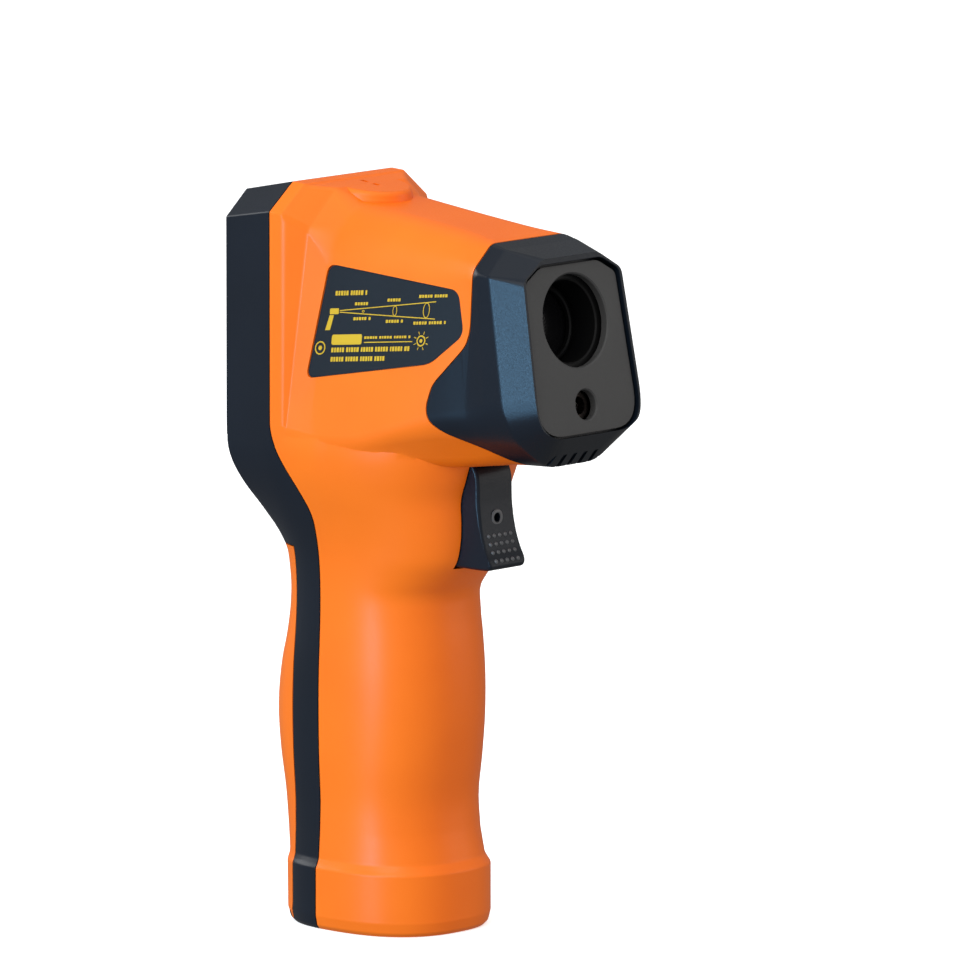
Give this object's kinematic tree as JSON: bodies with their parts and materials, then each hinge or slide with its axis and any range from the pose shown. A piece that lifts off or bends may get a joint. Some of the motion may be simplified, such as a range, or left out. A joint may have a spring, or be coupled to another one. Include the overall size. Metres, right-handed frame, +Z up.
{
  "type": "infrared thermometer",
  "caption": "Pistol-grip infrared thermometer with an angled nose, round lens bore and laser port, trigger, rear display with keys and a hinged battery cover.",
  "frame": {"origin": "centre of the flat base of the handle", "axes": "+Z up along the handle, the nose points to -Y, the display faces +Y, +X is on the holder's left"},
  "size_m": [0.0466, 0.0881, 0.1627],
  "materials": {
    "orange_plastic": "fine moulded texture, satin orange",
    "navy_plastic": "satin blue-black",
    "grey_plastic": "matt dark grey",
    "black_plastic": "matt black",
    "label_film": "printed film, satin",
    "clear_window": "clear, polished",
    "lcd_glass": "display glass",
    "white_plastic": "white",
    "infrared_lens": "dark infrared lens",
    "rubber": "conductive elastomer",
    "circuit_board": "green solder mask",
    "steel": "zinc-plated steel",
    "nickel": "nickel plated",
    "dark_metal": "blackened metal",
    "cell_sleeve": "printed sleeve"
  },
  "bodies": {
    "housing": {"front_casing": "orange_plastic", "rear_frame": "navy_plastic", "nose_shroud": "navy_plastic", "front_plate": "grey_plastic", "lens_tube": "black_plastic", "lens_retaining_ring": "black_plastic", "optics_frame": "black_plastic", "laser_clamp": "black_plastic", "trigger_switch_body": "black_plastic", "trigger_spring_post": "black_plastic", "microcontroller": "black_plastic", "memory_chip": "black_plastic", "buzzer": "black_plastic", "key_switch_left": "black_plastic", "key_switch_centre": "black_plastic", "key_switch_right": "black_plastic", "label_right": "label_film", "label_left": "label_film", "display_window": "clear_window", "laser_lens": "clear_window", "lcd_panel": "lcd_glass", "lcd_light_guide": "white_plastic", "fresnel_lens": "infrared_lens", "lcd_contact_strip": "rubber", "main_board": "circuit_board", "sensor_board": "circuit_board", "trigger_board": "circuit_board", "trigger_pivot_pin": "steel", "cover_hinge_pin": "steel", "trigger_spring": "steel", "contact_spring_lower": "steel", "contact_spring_upper": "steel", "casing_screw_lower": "steel", "casing_screw_upper": "steel", "head_screw_left": "steel", "head_screw_right": "steel", "thermopile_sensor": "nickel", "contact_plate_lower": "nickel", "contact_plate_upper": "nickel", "laser_housing": "dark_metal", "battery_cell_left": "cell_sleeve", "battery_cell_right": "cell_sleeve"},
    "battery_door": {"battery_cover": "orange_plastic"},
    "trigger_body": {"trigger": "navy_plastic"},
    "switch_plunger": {"trigger_switch_plunger": "white_plastic"},
    "left_key": {"key_left": "grey_plastic"},
    "centre_key": {"key_centre": "grey_plastic"},
    "right_key": {"key_right": "grey_plastic"}
  },
  "joints": [
    {"name": "battery_door_hinge", "type": "hinge", "parent": "housing", "child": "battery_door", "pos_m": [0, 0.0203, 0.0031], "axis": [-1, 0, 0], "range_deg": [0, 80]},
    {"name": "trigger_pull", "type": "hinge", "parent": "housing", "child": "trigger_body", "pos_m": [0, -0.024, 0.108], "axis": [1, 0, 0], "range_deg": [0, 7], "stiffness_Nm_per_rad": 0.6, "springref_deg": -5.73, "deforming": ["trigger_spring"]},
    {"name": "plunger_slide", "type": "slide", "parent": "housing", "child": "switch_plunger", "axis": [0, 1, 0], "range_m": [0, 0.0016]},
    {"name": "left_key_press", "type": "slide", "parent": "housing", "child": "left_key", "axis": [0, -1, 0], "range_m": [0, 0.0007], "stiffness_N_per_m": 900, "springref_m": -0.0004},
    {"name": "centre_key_press", "type": "slide", "parent": "housing", "child": "centre_key", "axis": [0, -1, 0], "range_m": [0, 0.0007], "stiffness_N_per_m": 900, "springref_m": -0.0004},
    {"name": "right_key_press", "type": "slide", "parent": "housing", "child": "right_key", "axis": [0, -1, 0], "range_m": [0, 0.0007], "stiffness_N_per_m": 900, "springref_m": -0.0004}
  ],
  "couplings": [
    {"joint": "plunger_slide", "follows": "trigger_pull", "m_per_rad": 0.012}
  ]
}
